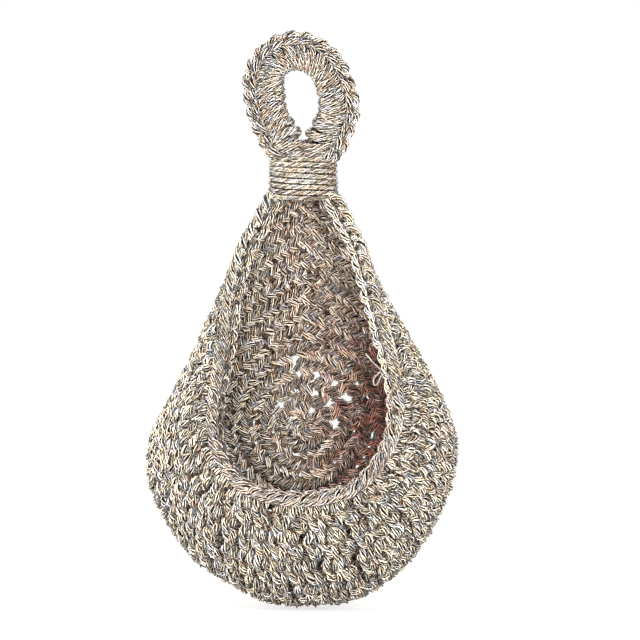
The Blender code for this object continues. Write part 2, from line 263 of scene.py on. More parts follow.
# Where the loop is fuller: (side, height over its foot, shift to the right, growth of its half width)
LOOP_BULGES = (
    (-1, 33.0 * MM, 1.2 * MM, 1.3 * MM),
    (1, 20.0 * MM, 2.0 * MM, 1.0 * MM),
    (-1, 56.0 * MM, 0.0 * MM, 0.8 * MM),
    (1, 56.0 * MM, 0.0 * MM, 0.8 * MM),
)
LOOP_BULGE_REACH = 16.0 * MM
CROWN_LIFT = 0.7 * MM
LOOP_STEPS = 200
CROWN_STEPS = 48

# The loop's feet: how they close in on each other and run down into the neck
FOOT_CLOSING = 2.7 * MM
FOOT_SHIFT = 1.0 * MM
FOOT_CLOSING_HEIGHT = 11.0 * MM
FOOT_DIP = 8.0 * MM
FOOT_PULL = 3.8 * MM
FOOT_PINCH_SHARE = 0.35
DIP_STEPS = 8
FILLING_CUT = 2
FOOT_BEND_RISE = 8.0 * MM
FOOT_BEND_DROP = 2.0 * MM

# The posts round the loop's padding, as shares of the room that one post has, and its two chains
POSTS = 26
POST_STEPS = 30
POST_SPREAD_SHARE = 0.22
POST_FAN_SHARE = 0.5
POST_SLANT_SHARE = 0.30
POST_SWELL_SHARE = 0.025
POST_JITTER = 0.2 * MM
POST_INSET = 0.25 * MM
LOOP_LINK = 9.2 * MM
LOOP_LINK_HALF = 3.6 * MM
CHAIN_LIFT = 0.6 * MM
CHAIN_TILT = math.radians(38)

# The binding, with its lean as (turns from its start, lean)
BINDING_TURNS = 8
TURN_STEPS = 40
BINDING_LEANS = ((0, 0.1 * MM), (2, -0.2 * MM), (4.5, -0.9 * MM), (6, -0.2 * MM), (8, 0.8 * MM))
BINDING_SAG = 1.4 * MM
BINDING_SPREAD = 1.0 * MM
BINDING_DROP = 0.6 * MM
BINDING_SWELL = 0.4 * MM
BINDING_TAPER = 0.9 * MM
NECK_STRANDS = 22
NECK_SPREAD_SHARE = 0.3
NECK_STRAND_INSET = 3.3 * MM
NECK_STRAND_DROP = 1.0 * MM
NECK_STRAND_TOP = 1.5 * MM
RING_STEPS = 32

# The thread that has come loose, as (right of the middle, height), and its lift off the back's rounds
THREAD_SPOTS = (
    (36.1 * MM, 143.8 * MM),
    (40.7 * MM, 138.4 * MM),
    (45.6 * MM, 133.5 * MM),
    (44.4 * MM, 129.5 * MM),
    (42.1 * MM, 125.5 * MM),
    (40.6 * MM, 127.2 * MM),
    (41.8 * MM, 130.6 * MM),
    (45.6 * MM, 133.8 * MM),
    (48.1 * MM, 130.9 * MM),
    (48.7 * MM, 127.2 * MM),
)
THREAD_LIFT = 9.0 * MM
BACK_ROUNDS = 9

# Painted shade: brown, darker cord inside at the lower right, darker cord round the lower part of the mouth,
# and slightly darker cord on the loop
INNER_SHADE_SHARE = 0.25
INNER_SHADE_FALL_SHARE = 0.17
INNER_SHADE_LEFT = 30.0 * MM
INNER_SHADE_RIGHT = 38.0 * MM
INNER_SHADE_HEIGHT = 190.0 * MM
INNER_SHADE_FALL = 75.0 * MM
INNER_SHADE_DEPTH = 55.0 * MM
INNER_SHADE_DEPTH_REACH = 20.0 * MM
RIM_SHADE_HEIGHT = 140.0 * MM
RIM_SHADE_REACH = 60.0 * MM
RIM_SHADE = 0.2
RIM_VALLEY_SHADE = 0.7
LOOP_SHADE = 0.08
LOOP_VALLEY_SHADE = 0.5

# The cord's grain. Rates are by the centimetre along it
DRIFT_SEED = 7.31
DRIFT_RATE = 0.9
FIBRE_ACROSS = 5.0
FIBRE_SLANT = 2.0
FIBRE_RATE = 3.2
FIBRE_DETAIL = 3.0
FIBRE_ROUGHNESS = 0.7
# How many lines of painted groove shade go round a strand, and how far they waver
THREADS = 2.0
THREAD_WAVER = 1.1
CAST_REACH = 5.0 * MM
# Patches in which the brown painted shade inside is stronger or weaker
PATCH_REACH = 7.0 * MM
PATCH_GAIN = 3.2
PATCH_OFFSET = -0.6
BUMP_STRENGTH = 0.8
BUMP_HEIGHT = 0.25 * MM
CORD_ROUGHNESS = 0.92
CORD_SPECULAR = 0.12
CORD_SHEEN = 0.08
SHEEN_ROUGHNESS = 0.5
THREAD_GRAIN = 1.0 * MM
THREAD_ROUGHNESS = 0.8

# The floor, the camera and the lamps, each as (name, place, size, watts)
FLOOR_DROP = 1.5 * MM
FLOOR_REACH = 4.0
FADE_SPOT = (0, -0.04, -CROWN_HEIGHT)
FADE_START = 0.13
FADE_END = 0.42
LIFT_STRENGTH = 0.66
WORLD_STRENGTH = 0.45
AIM_RIGHT = 9.7 * MM
AIM_HEIGHT = 164.0 * MM
AIM_DEPTH = 40.0 * MM
CAMERA_DISTANCE = 3.2
CAMERA_RISE = math.radians(1.5)
LENS = 314
LAMP_AIM = (0, -0.03, -0.15)
LAMPS = (
    ("key", (0.62, -1.6, 0.20), 0.5, 32.0),
    ("fill", (-0.62, -1.7, -0.08), 0.5, 19.0),
    ("front", (0.10, -1.9, -0.06), 0.3, 9.0),
    ("low", (-0.25, -1.5, -0.27), 0.06, 7.0),
    ("side", (-0.9, -1.2, 0.4), 0.6, 8.0),
    ("back", (-0.7, 1.7, 0.3), 1.2, 42.0),
)

# Every draw comes from here, in a fixed order
random = np.random.default_rng(7)


def place(width, height, depth):
    """Points in the part's frame: so far right of the middle, above the base and out from the wall."""
    width, height, depth = np.broadcast_arrays(width, height, depth)
    return np.stack([width + CROWN_SHIFT, LOOP_SETBACK - depth, height - CROWN_HEIGHT], axis=-1)


def turned(width, height, depth):
    """A direction given the same way as place gives a point."""
    return np.array([width, -depth, height], dtype=float)


FORWARD = turned(0, 0, 1)


def height_of(points):
    return points[..., 2] + CROWN_HEIGHT


def unit(vectors):
    return vectors / np.maximum(np.linalg.norm(vectors, axis=-1, keepdims=True), TINY)


def eased(share):
    """An even share from 0 to 1, slowed at both ends."""
    return share * share * (3 - 2 * share)


def spline(guides, steps):
    """Catmull-Rom paths through rows of guides, from each row's second to its last but one."""
    a, b, c, d = (guides[:, k : guides.shape[1] - 3 + k, None] for k in range(4))
    t = (np.arange(steps) / steps)[:, None]
    bend = 2 * a - 5 * b + 4 * c - d
    twist = 3 * b - a - 3 * c + d
    curve = (2 * b + (c - a) * t + bend * t**2 + twist * t**3) / 2
    return np.concatenate([curve.reshape(len(guides), -1, guides.shape[2]), guides[:, -2:-1]], axis=1)


def smooth_path(points, before, after):
    """A fine polyline through points, with one guide point past each end."""
    return spline(np.array([[before, *points, after]], dtype=float), SPAN_STEPS)[0]


def smooth_paths(paths, steps):
    """Many open paths smoothed at once, with so many steps from point to point."""
    before = 2 * paths[:, :1] - paths[:, 1:2]
    after = 2 * paths[:, -1:] - paths[:, -2:-1]
    return spline(np.concatenate([before, paths, after], axis=1), steps)


def distances_along(paths):
    """How far along its own path each point of many paths is."""
    lengths = np.linalg.norm(np.diff(paths[..., :3], axis=1), axis=2)
    return np.concatenate([np.zeros((len(paths), 1)), np.cumsum(lengths, axis=1)], axis=1)


def lengths_along(path):
    return distances_along(path[None])[0]


def along_line(values, lengths, way):
    """Values given along a line, read at other distances along it."""
    return np.stack([np.interp(way, lengths, values[:, k]) for k in range(values.shape[1])], axis=-1)


def at_lengths(path, way):
    return along_line(path, lengths_along(path), way)


def resample(path, count):
    """Even points along a polyline, each with the direction of travel there."""
    total = lengths_along(path)[-1]
    way = total * np.arange(count + 1) / count
    ahead = at_lengths(path, np.minimum(way + total * LOOK_SHARE, total))
    back = at_lengths(path, np.maximum(way - total * LOOK_SHARE, 0))
    return at_lengths(path, way), unit(ahead - back)


def half_outline(apex, neck, shares, height, base, half_width):
    points = [apex, neck]
    for height_share, width_share in shares:
        points.append((half_width * width_share, base + height * height_share))
    points.append((0, base))
    mirror = np.array([-1, 1])
    return smooth_path(points, points[1] * mirror, points[-2] * mirror)


def down_share(height, lowest):
    return np.clip((BODY_HEIGHT - height) / (BODY_HEIGHT - lowest), 0, 1)


def bezier(a, b, c, d, t):
    s = 1 - t
    return a * s**3 + b * (3 * s * s * t) + c * (3 * s * t * t) + d * t**3


def lip_and_pull(mouth, mouth_along):
    """The cloth's middle line where it ends at the mouth, and the direction it arrives in."""
    down = down_share(mouth[1], MOUTH_BASE_HEIGHT)
    neck_depth = NECK_DEPTH - RIM_THICKNESS - CLEAR
    tilt = LIP_TILT * eased(down)
    pull = FORWARD * math.cos(tilt) + turned(mouth_along[1], -mouth_along[0], 0) * math.sin(tilt)
    return place(mouth[0], mouth[1], neck_depth + (MOUTH_DEPTH - neck_depth) * down), pull


def meridian(body, body_along, mouth, mouth_along):
    """The cloth's middle line from the centre of the rounds to the mouth, and its direction at the mouth."""
    body = body + np.array([body_along[1], -body_along[0]]) * (WALL / 2)
    centre = place(0, CENTRE_HEIGHT, WALL / 2)
    deep = NECK_DEPTH + (POUCH_DEPTH - NECK_DEPTH) * eased(down_share(body[1], WIDEST_HEIGHT))
    edge_rise = deep * SILHOUETTE_DEPTH_SHARE - WALL / 2
    edge = place(body[0], body[1], WALL / 2 + edge_rise)
    out = turned(body[0], body[1] - CENTRE_HEIGHT, 0)
    away = unit(out)
    flat = centre + out - away * (edge_rise * CORNER_SHARE)
    corner = away * (edge_rise * CORNER_SHARE * ROUND_SHARE)
    below = edge - FORWARD * (edge_rise * ROUND_SHARE)
    lip, pull = lip_and_pull(mouth, mouth_along)
    reach = FORWARD * ((lip - edge) @ FORWARD * FRONT_REACH_SHARE)
    draw = pull * (np.linalg.norm(lip - edge) * RIM_PULL_SHARE)
    line = [centre + (flat - centre) * i / BACK_STEPS for i in range(BACK_STEPS)]
    for i in range(CORNER_STEPS):
        line.append(bezier(flat, flat + corner, below, edge, i / CORNER_STEPS))
    for i in range(FRONT_STEPS + 1):
        line.append(bezier(edge, edge + reach, lip - draw, lip, i / FRONT_STEPS))
    return np.array(line), pull


def outlines():
    """The right halves of the basket's outline and of its mouth, from the neck down."""
    apex = (0, BODY_HEIGHT + NECK_RISE)
    neck = (NECK_WIDTH / 2, BODY_HEIGHT)
    body = half_outline(apex, neck, BODY_OUTLINE_SHARES, BODY_HEIGHT, 0, BODY_WIDTH / 2)
    apex = (0, BODY_HEIGHT + MOUTH_RISE)
    neck = ((NECK_WIDTH - WALL) / 2 * NECK_MOUTH_SHARE, BODY_HEIGHT)
    rise = BODY_HEIGHT - MOUTH_BASE_HEIGHT
    return body, half_outline(apex, neck, MOUTH_OUTLINE_SHARES, rise, MOUTH_BASE_HEIGHT, MOUTH_WIDTH / 2)


def swayed(points):
    """The even cloth swayed from side to side, with its lower left pushed in."""
    shares = height_of(points) / BODY_HEIGHT
    sway = SWAY * np.sin(math.tau * (shares - SWAY_START_SHARE) / SWAY_WAVE_SHARE)
    sway = sway * np.clip(4 * shares * (1 - shares), 0, 1)
    points = points + sway[..., None] * turned(1, 0, 0)
    off_left = (points[..., 0] - CROWN_SHIFT + DENT_LEFT) / DENT_REACH
    off_low = (height_of(points) - DENT_HEIGHT) / DENT_REACH
    dent = DENT * np.exp(-(off_left**2 + off_low**2))
    return points + dent[..., None] * unit(turned(1, 1, 0))


class Cloth:
    """The cloth as a surface: a place around it and a number of rounds from its centre give a point."""

    def __init__(self):
        body, mouth = outlines()
        halves = zip(*resample(body, HALF_MERIDIANS), *resample(mouth, HALF_MERIDIANS))
        right = [meridian(*item) for item in halves]
        middle = np.array([CROWN_SHIFT, 0, 0])
        flip = np.array([-1, 1, 1])
        left = [((line - middle) * flip + middle, pull * flip) for line, pull in right[-2:0:-1]]
        lines = [line for line, _ in right + left]
        totals = np.array([lengths_along(line)[-1] for line in lines])
        shares = np.arange(ROUNDS * ROUND_STEPS + 1) / (ROUNDS * ROUND_STEPS)
        rows = shares * (totals[:, None] * shares + totals.mean() * (1 - shares))
        self.points = swayed(np.array([at_lengths(line, row) for line, row in zip(lines, rows)]))
        self.pulls = np.array([pull for _, pull in right + left])
        across = np.roll(self.points, -1, axis=0) - np.roll(self.points, 1, axis=0)
        normals = np.cross(np.gradient(self.points, axis=1), across)
        normals[:, 0] = -FORWARD
        self.normals = unit(normals)
        self.count = len(lines)

    def sample(self, grid, around, rounds):
        """Bilinear reading of a grid: around counts meridians, rounds counts from the centre."""
        i = np.clip(rounds * ROUND_STEPS, 0, ROUNDS * ROUND_STEPS - GRID_MARGIN)
        i0 = np.floor(i).astype(int)
        fi = (i - i0)[..., None]
        j = np.mod(around, self.count)
        j0 = np.floor(j).astype(int) % self.count
        fj = (j - np.floor(j))[..., None]
        j1 = (j0 + 1) % self.count
        low = grid[j0, i0] * (1 - fj) + grid[j1, i0] * fj
        high = grid[j0, i0 + 1] * (1 - fj) + grid[j1, i0 + 1] * fj
        return low * (1 - fi) + high * fi

    def at(self, around, rounds, lift):
        """Points off the cloth by a lift. Past the first or last round the cloth runs on straight."""
        past = rounds - np.clip(rounds, 0, ROUNDS)
        base = self.sample(self.points, around, rounds)
        normal = unit(self.sample(self.normals, around, rounds))
        back = self.sample(self.points, around, np.clip(rounds, 1, ROUNDS) - 1)
        on = self.sample(self.points, around, np.clip(rounds, 1, ROUNDS)) - back
        return base + on * past[..., None] + normal * np.asarray(lift)[..., None]

    def ring(self, rounds):
        """How the way round at a number of rounds turns into meridians: (lengths, meridians, total)."""
        around = np.arange(self.count + 1)
        points = self.sample(self.points, around, rounds)
        lengths = lengths_along(points)
        return lengths, around, lengths[-1]


def even_paths(paths, step):
    """The same paths with even steps: all get as many points as the mean path needs."""
    totals = distances_along(paths)
    count = max(int(round(totals[:, -1].mean() / step)), LEAST_STEPS)
    shares = np.arange(count + 1) / count
    return np.array([along_line(path, total, shares * total[-1]) for path, total in zip(paths, totals)])


def fine_paths(paths, bends, step):
    """Paths rounded between their points, with even steps."""
    return even_paths(smooth_paths(paths, bends), step)


def path_frames(paths):
    """Two directions square to many paths, carried along them without a twist, and the distances along."""
    tangents = unit(np.gradient(paths, axis=1))
    side = np.empty_like(paths)
    first = np.cross(tangents[:, 0], FORWARD)
    weak = np.linalg.norm(first, axis=1) < PARALLEL_LIMIT
    first[weak] = np.cross(tangents[weak, 0], turned(1, 0, 0))
    side[:, 0] = unit(first)
    for i in range(1, paths.shape[1]):
        lean = np.sum(side[:, i - 1] * tangents[:, i], axis=1, keepdims=True)
        side[:, i] = unit(side[:, i - 1] - tangents[:, i] * lean)
    return side, np.cross(tangents, side), distances_along(paths)


def circled(centres, side, up, angles, radii):
    """Points round centres at angles, in the plane of two directions."""
    spread = side[:, :, None] * np.cos(angles)[..., None] + up[:, :, None] * np.sin(angles)[..., None]
    return centres[:, :, None] + spread * radii[..., None]


def strand_paths(paths, radius, twist):
    """The strands twisted round each yarn and then its core, with their radii."""
    side, up, along = path_frames(paths)
    width = np.broadcast_to(radius, paths.shape[:2]) * 2
    starts = random.random(len(paths))[:, None]
    turn = -math.tau * (along / (twist * width.mean()) + starts)
    angles = turn[..., None] + math.tau * np.arange(STRANDS) / STRANDS
    angles = angles + random.normal(0, STRAND_TURN_SPREAD, (len(paths), 1, STRANDS))
    spreads = 1 + random.normal(0, REACH_SPREAD_SHARE, (len(paths), 1, STRANDS))
    spread = circled(paths, side, up, angles, width[..., None] * STRAND_REACH_SHARE * spreads)
    outer = np.moveaxis(spread, 2, 1).reshape(-1, paths.shape[1], 3)
    thick = np.repeat(width * STRAND_SHARE, STRANDS, axis=0)
    thick = thick * (1 + random.normal(0, STRAND_SPREAD_SHARE, (len(outer), 1)))
    return np.concatenate([outer, paths]), np.concatenate([thick, width * CORE_SHARE])


def per_strand(values, shape):
    """Values given along each yarn, one at most, spread over its strands and its core."""
    whole = np.broadcast_to(values, shape)
    return np.concatenate([np.repeat(whole, STRANDS, axis=0), whole])


def tube_faces(count, steps):
    """The corner numbers of many tubes' walls and then their ends, and where each face starts among them."""
    n = np.arange(count)[:, None, None]
    i = np.arange(steps - 1)[None, :, None]
    k = np.arange(SIDES)[None, None, :]
    a = (n * steps + i) * SIDES + k
    b = (n * steps + i) * SIDES + (k + 1) % SIDES
    walls = np.stack([a, b, b + SIDES, a + SIDES], axis=-1).reshape(-1)
    firsts = np.arange(count)[:, None] * steps * SIDES
    low = firsts + np.arange(SIDES)[::-1]
    high = firsts + (steps - 1) * SIDES + np.arange(SIDES)
    ends = np.concatenate([low.reshape(-1), high.reshape(-1)])
    starts = [np.arange(a.size) * 4, len(walls) + np.arange(2 * count) * SIDES]
    return np.concatenate([walls, ends]), np.concatenate(starts)


def tube_uvs(along):
    """The walls' UV places: each tube's own number plus the share of the way round, then the distance."""
    count, steps = along.shape
    shape = (count, steps - 1, SIDES)
    k = np.arange(SIDES)[None, None, :]
    seed = random.integers(0, UV_SEEDS, count)[:, None, None]
    left = np.broadcast_to(seed + k / SIDES, shape)
    right = np.broadcast_to(seed + (k + 1) / SIDES, shape)
    way = along * UV_PER_METRE + random.random(count)[:, None] * UV_SHIFT
    low = np.broadcast_to(way[:, :-1, None], shape)
    high = np.broadcast_to(way[:, 1:, None], shape)
    return np.stack([left, low, right, low, right, high, left, high], axis=-1).reshape(-1, 2)


def build_mesh(name, points, loops, starts, uvs):
    mesh = bpy.data.meshes.new(name)
    mesh.vertices.add(len(points))
    mesh.vertices.foreach_set("co", points.astype(np.float32).reshape(-1))
    mesh.loops.add(len(loops))
    mesh.loops.foreach_set("vertex_index", loops.astype(np.int32))
    mesh.polygons.add(len(starts))
    mesh.polygons.foreach_set("loop_start", starts.astype(np.int32))
    mesh.polygons.foreach_set("use_smooth", np.ones(len(starts), dtype=bool))
    all_uvs = np.zeros((len(loops), 2), dtype=np.float32)
    all_uvs[: len(uvs)] = uvs
    mesh.uv_layers.new(name="yarn").data.foreach_set("uv", all_uvs.reshape(-1))
    return mesh


def add_object(name, data):
    made = bpy.data.objects.new(name, data)
    bpy.context.scene.collection.objects.link(made)
    return made


def yarn_mesh(name, paths, radius, finish, shade=0.0, deep=0.0, core=1.0, twist=TWIST_SHARE):
    """One object of many yarns. Its UV map gives the way round a strand and the centimetres along it."""
    yarns = len(paths)
    shades = per_strand(shade, paths.shape[:2])
    depths = per_strand(deep, paths.shape[:2])
    paths, radii = strand_paths(paths, radius, twist)
    cores = np.zeros(paths.shape[:2])
    cores[-yarns:] = core
    side, up, along = path_frames(paths)
    angles = np.broadcast_to(math.tau * np.arange(SIDES) / SIDES, (*paths.shape[:2], SIDES))
    rings = circled(paths, side, up, angles, np.broadcast_to(radii[..., None], angles.shape))
    mesh = build_mesh(name, rings.reshape(-1, 3), *tube_faces(*paths.shape[:2]), tube_uvs(along))
    # Point attributes that set painted shade: brown inside, near black at the core, cooler and darker in the
    # valleys
    for label, values in (("inside", shades), ("core", cores), ("deep", depths)):
        layer = mesh.attributes.new(label, "FLOAT", "POINT")
        layer.data.foreach_set("value", np.repeat(values.reshape(-1), SIDES).astype(np.float32))
    mesh.update(calc_edges=True)
    mesh.validate()
    made = add_object(name, mesh)
    made.data.materials.append(finish)
    return made


def srgb(red, green, blue):
    """A linear colour from the eight-bit values that a screen shows."""
    found = []
    for value in (red, green, blue):
        share = value / 255
        found.append(share / 12.92 if share <= 0.04045 else ((share + 0.055) / 1.055) ** 2.4)
    return (*found, 1)


CREAM = srgb(247, 240, 235)
BEIGE = srgb(242, 230, 219)
YELLOW = srgb(240, 230, 206)
PEACH = srgb(238, 214, 198)
GREY = srgb(212, 207, 200)
SLATE = srgb(160, 160, 163)

# Colours along noise or a line's width, as (place, colour)
CORD_STOPS = (
    (0.28, SLATE),
    (0.35, GREY),
    (0.42, BEIGE),
    (0.49, CREAM),
    (0.55, YELLOW),
    (0.61, BEIGE),
    (0.66, PEACH),
    (0.74, CREAM),
)
# Darker, browner cord: painted shade for cord seen between stitches and in the padding
SHADED_CORD_STOPS = ((0.35, srgb(104, 98, 92)), (0.50, srgb(122, 108, 94)), (0.65, srgb(118, 98, 84)))
THREAD_STOPS = ((0.35, SLATE), (0.65, BEIGE))
FIBRE_STOPS = (
    (0.40, (0.020, 0.014, 0.009, 1)),
    (0.46, (0.70, 0.69, 0.68, 1)),
    (0.54, (1.0, 1.0, 1.0, 1)),
    (0.70, (1.08, 1.08, 1.08, 1)),
)
# Painted shade: dark lines in the grooves between threads
GROOVE_SHADE_STOPS = ((0.25, (1, 1, 1, 1)), (0.32, (0.010, 0.008, 0.006, 1)))
CAST_STOPS = (
    (0.34, (0.86, 0.92, 1.0, 1)),
    (0.45, (1.0, 1.0, 0.97, 1)),
    (0.55, (1.0, 0.98, 0.83, 1)),
    (0.66, (1.0, 0.84, 0.72, 1)),
)
# Painted shade: brown inside the basket, cooler and darker in the valleys, near black at each yarn's core
INNER_SHADE_TINT = (0.49, 0.23, 0.21, 1)
VALLEY_SHADE_TINT = (0.80, 0.83, 0.90, 1)
CORE_SHADE_TINT = (0.014, 0.013, 0.012, 1)
FLOOR_COLOUR = (0.9, 0.9, 0.895, 1)
FLOOR_SHOWN = (0.40, 0.395, 0.39, 1)
FLOOR_LIFT = (1.0, 0.995, 0.99, 1)
WHITE = (1, 1, 1, 1)


def join(tree, socket, value):
    """Links an output to a socket, or sets the socket to a value."""
    if hasattr(value, "is_output"):
        tree.links.new(value, socket)
    else:
        socket.default_value = value


def node(tree, kind, **inputs):
    """A new shader node, with its inputs linked or set."""
    made = tree.nodes.new("ShaderNode" + kind)
    for key, value in inputs.items():
        join(tree, made.inputs[key.replace("_", " ")], value)
    return made


def maths(tree, operation, *values):
    made = node(tree, "Math")
    made.operation = operation
    for socket, value in zip(made.inputs, values):
        join(tree, socket, value)
    return made.outputs[0]


def noise(tree, spot, **inputs):
    return node(tree, "TexNoise", Vector=spot, **inputs).outputs["Fac"]


def ramp(tree, stops, share):
    """The colour that a share picks between stops, given as (place, colour) from low to high."""
    made = node(tree, "ValToRGB", Fac=share)
    elements = made.color_ramp.elements
    elements[0].position, elements[0].color = stops[0]
    elements[1].position, elements[1].color = stops[-1]
    for position, colour in stops[1:-1]:
        elements.new(position).color = colour
    return made.outputs[0]


def multiplied(tree, colour, tint, share=1.0):
    """A colour times a tint. A Mix node has its colours at sockets 6 and 7, and its result at output 2."""
    made = node(tree, "Mix")
    made.data_type = "RGBA"
    made.blend_type = "MULTIPLY"
    for number, value in ((0, share), (6, colour), (7, tint)):
        join(tree, made.inputs[number], value)
    return made.outputs[2]


def attribute(tree, name):
    made = node(tree, "Attribute")
    made.attribute_name = name
    return made.outputs["Fac"]


def object_spot(tree):
    return node(tree, "TexCoord").outputs["Object"]


def new_material(name, roughness):
    made = bpy.data.materials.new(name)
    made.use_nodes = True
    shader = made.node_tree.nodes["Principled BSDF"]
    shader.inputs["Roughness"].default_value = roughness
    return made, made.node_tree, shader


def strand_colour(tree, across, along, stops):
    """Each strand's own colour, drifting along it."""
    seed = maths(tree, "MULTIPLY", maths(tree, "FLOOR", across), DRIFT_SEED)
    spot = node(tree, "CombineXYZ", X=seed, Y=maths(tree, "MULTIPLY", along, DRIFT_RATE))
    return ramp(tree, stops, noise(tree, spot.outputs[0], Scale=1.0, Detail=1.0))


def fibre_noise(tree, across, along):
    """Noise drawn out along short slanting fibres."""
    slanted = maths(tree, "MULTIPLY_ADD", across, FIBRE_ACROSS, maths(tree, "MULTIPLY", along, FIBRE_SLANT))
    spot = node(tree, "CombineXYZ", X=slanted, Y=maths(tree, "MULTIPLY", along, FIBRE_RATE))
    return noise(tree, spot.outputs[0], Scale=1.0, Detail=FIBRE_DETAIL, Roughness=FIBRE_ROUGHNESS)


def with_groove_shade(tree, colour, across, fibres):
    """Painted shade: fine dark lines in the grooves along the strand, wavering with its fibres."""
    threads = maths(tree, "MULTIPLY_ADD", across, THREADS, maths(tree, "MULTIPLY", fibres, THREAD_WAVER))
    off_middle = maths(tree, "ABSOLUTE", maths(tree, "SUBTRACT", maths(tree, "FRACT", threads), 0.5))
    return multiplied(tree, colour, ramp(tree, GROOVE_SHADE_STOPS, off_middle))


def with_casts_and_painted_shade(tree, colour):
    """Broad patches of cooler, yellower and pinker cord, then painted shade: brown in patches inside, cooler
    and darker in the valleys, and near black at the cores.
    """
    spot = object_spot(tree)
    cast = noise(tree, spot, Scale=1 / CAST_REACH, Detail=1.0)
    colour = multiplied(tree, colour, ramp(tree, CAST_STOPS, cast))
    patches = noise(tree, spot, Scale=1 / PATCH_REACH)
    patch = maths(tree, "MULTIPLY_ADD", patches, PATCH_GAIN, PATCH_OFFSET)
    inner_shade = maths(tree, "MULTIPLY", attribute(tree, "inside"), patch)
    colour = multiplied(tree, colour, INNER_SHADE_TINT, inner_shade)
    colour = multiplied(tree, colour, VALLEY_SHADE_TINT, attribute(tree, "deep"))
    return multiplied(tree, colour, CORE_SHADE_TINT, attribute(tree, "core"))


def yarn_material(name, strand_stops):
    """Cord of fine strands that drift between colours, with short fibres, and painted shade in dark lines
    along them, inside, in valleys and at cores.
    """
    made, tree, shader = new_material(name, CORD_ROUGHNESS)
    uv = node(tree, "UVMap")
    uv.uv_map = "yarn"
    across, along, _ = node(tree, "SeparateXYZ", Vector=uv.outputs[0]).outputs
    fibres = fibre_noise(tree, across, along)
    colour = strand_colour(tree, across, along, strand_stops)
    colour = multiplied(tree, colour, ramp(tree, FIBRE_STOPS, fibres))
    colour = with_casts_and_painted_shade(tree, with_groove_shade(tree, colour, across, fibres))
    tree.links.new(colour, shader.inputs["Base Color"])
    bump = node(tree, "Bump", Strength=BUMP_STRENGTH, Distance=BUMP_HEIGHT, Height=fibres)
    tree.links.new(bump.outputs[0], shader.inputs["Normal"])
    shader.inputs["Specular IOR Level"].default_value = CORD_SPECULAR
    shader.inputs["Sheen Weight"].default_value = CORD_SHEEN
    shader.inputs["Sheen Roughness"].default_value = SHEEN_ROUGHNESS
    return made


def thread_material():
    """Pale thread that is a little darker here and there."""
    made, tree, shader = new_material("loose_thread", THREAD_ROUGHNESS)
    grain = noise(tree, object_spot(tree), Scale=1 / THREAD_GRAIN)
    tree.links.new(ramp(tree, THREAD_STOPS, grain), shader.inputs["Base Color"])
    return made


def jittered(shape, count, spreads):
    """The same shape for each of many copies, every point moved a little by its own draw."""
    shape = np.array(shape)
    return shape + random.normal(0, 1, (count, len(shape), 3)) * np.array(spreads)


def stitch_paths(cloth, number, shape, centres, leans, widths, shift=0.0):
    """Yarn paths for a round's stitches, after a shape given as shares, and which lie below the neck."""
    lengths, meridians, total = cloth.ring(number - MIDDLE_SHARE)
    count = len(centres)
    shapes = jittered(shape, count, STITCH_JITTER_SHARES)
    shapes[..., 0] += shift
    fall = 1 - np.clip(shapes[..., 1], 0, 1)
    shapes[..., 0] *= widths[:, None] + (1 - widths[:, None]) * fall * fall
    way = np.mod(centres[:, None] + (shapes[..., 0] + leans[:, None] * shapes[..., 1]) / count, 1) * total
    paths = cloth.at(np.interp(way, lengths, meridians), number - 1 + shapes[..., 1], shapes[..., 2] * YARN)
    spots = np.interp(centres * total, lengths, meridians)
    middles = cloth.at(spots, number - KEPT_SHARE, 0)
    return paths, height_of(middles) < BODY_HEIGHT + STITCH_RISE


def looseness(points):
    """1 where the back is loosest, falling to 0 at the edge of the open part."""
    off = points - place(OPEN_RIGHT, OPEN_HEIGHT, 0)
    distance = np.hypot(off[..., 0], off[..., 2])
    behind = points[..., 1] > LOOP_SETBACK - 2 * WALL
    return np.clip(1 - distance / OPEN_REACH, 0, 1) * behind


def seam_paths(cloth, rounds):
    """The cord that runs along inside the cloth at a number of rounds, left out where the cloth is open."""
    lengths, meridians, total = cloth.ring(rounds)
    count = max(int(round(total / STITCH_PITCH)) * SEAM_POINTS, LEAST_SEAM_POINTS)
    spots = np.interp(np.arange(count + 1) / count * total, lengths, meridians)
    points = cloth.at(spots, rounds, SEAM_LIFT_SHARE * YARN)
    keep = height_of(points) < BODY_HEIGHT + SEAM_RISE
    keep &= looseness(points) < SEAM_OPEN_LIMIT
    if keep.all():
        return [points]
    start = int(np.argmin(keep[:-1]))
    rolled = np.roll(points[:-1], -start, axis=0)
    kept = np.flatnonzero(np.roll(keep[:-1], -start))
    runs = np.split(kept, np.flatnonzero(np.diff(kept) > 1) + 1)
    return [rolled[run] for run in runs if len(run) >= LEAST_RUN]


def ride_basket(piece, crosses_neck):
    """Moves with the basket. A piece that goes up into the binding is baked in place instead."""
    if crosses_neck:
        low = place(0, BODY_HEIGHT - BEND_HEIGHT, LOOP_SETBACK)
        high = place(0, BODY_HEIGHT, LOOP_SETBACK)
        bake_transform(piece)
    else:
        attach(piece, "basket")


def basket_piece(name, fine, radius, finish, slot, **kinds):
    piece = yarn_mesh(name, fine, radius, finish, **kinds)
    ride_basket(piece, height_of(fine).max() > BODY_HEIGHT - BEND_HEIGHT)
    return piece


def valley(shape, steps):
    """How far a stitch's cord lies down between its neighbours along its path, from 0 at its crests to 1:
    how strong its painted valley shade is.
    """
    lifts = np.array(shape)[:, 2]
    places = np.linspace(0, 1, len(lifts))
    found = np.interp(np.linspace(0, 1, steps), places, lifts)
    return np.clip((VALLEY_LIFT_SHARE - found) / VALLEY_REACH_SHARE, 0, 1)


